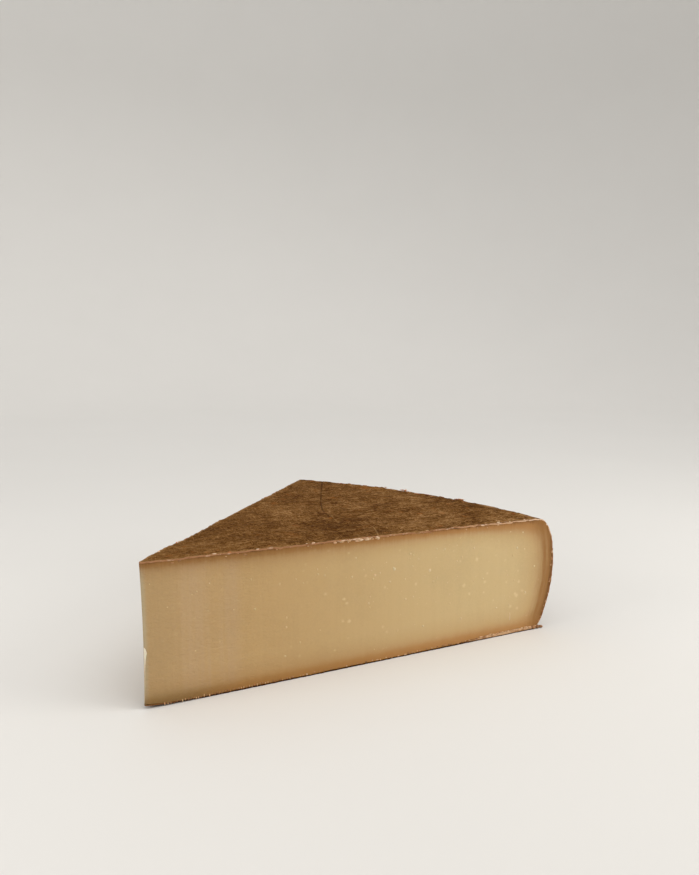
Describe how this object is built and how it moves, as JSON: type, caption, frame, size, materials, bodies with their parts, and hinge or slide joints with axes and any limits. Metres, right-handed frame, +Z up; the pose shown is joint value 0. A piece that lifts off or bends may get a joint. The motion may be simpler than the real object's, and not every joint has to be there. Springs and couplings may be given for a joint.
{
  "type": "comte cheese wedge",
  "caption": "Wedge of firm mountain cheese cut from a flat wheel, with two straight cut faces, a rounded heel and a brushed brown rind.",
  "frame": {"origin": "on the surface that the wedge stands on, under the middle of its bounding box", "axes": "+Z up; +X along the front cut from the tip to the heel; the front cut faces -Y, so +Y points back across the sector"},
  "size_m": [0.345, 0.2694, 0.1001],
  "materials": {
    "paste": "waxy ivory to straw-yellow cheese paste, faintly satin on the cuts, browner under the rind",
    "rind": "dry, matt, brushed brown rind, mottled and grainy"
  },
  "bodies": {
    "root": {"comte_wedge": "paste"}
  },
  "joints": []
}
